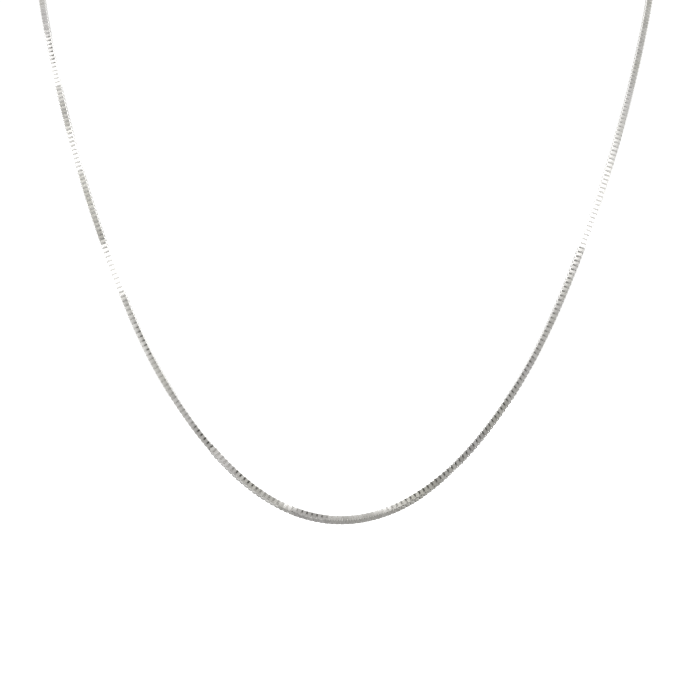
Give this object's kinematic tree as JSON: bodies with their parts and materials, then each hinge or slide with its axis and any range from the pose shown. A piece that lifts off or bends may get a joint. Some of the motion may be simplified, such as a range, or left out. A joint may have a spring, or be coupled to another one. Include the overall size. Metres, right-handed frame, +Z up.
{
  "type": "box chain necklace",
  "caption": "Fine square-section box chain necklace in polished silver, a closed loop that hangs in a deep curve from the back of the neck.",
  "frame": {"origin": "middle of the closed end at the back, where the chain sits on the nape", "axes": "+Z up, -Y towards the front of the neck, +X towards the right of the picture"},
  "size_m": [0.1278, 0.0883, 0.1333],
  "materials": {
    "chain_silver": "polished silver with darker recesses between the links",
    "fittings_silver": "polished silver wire with fine handling marks"
  },
  "bodies": {
    "root": {"chain": "chain_silver", "end_link_left": "chain_silver", "end_link_right": "chain_silver", "end_ring_left": "fittings_silver", "end_ring_right": "fittings_silver", "clasp": "fittings_silver"}
  },
  "joints": []
}
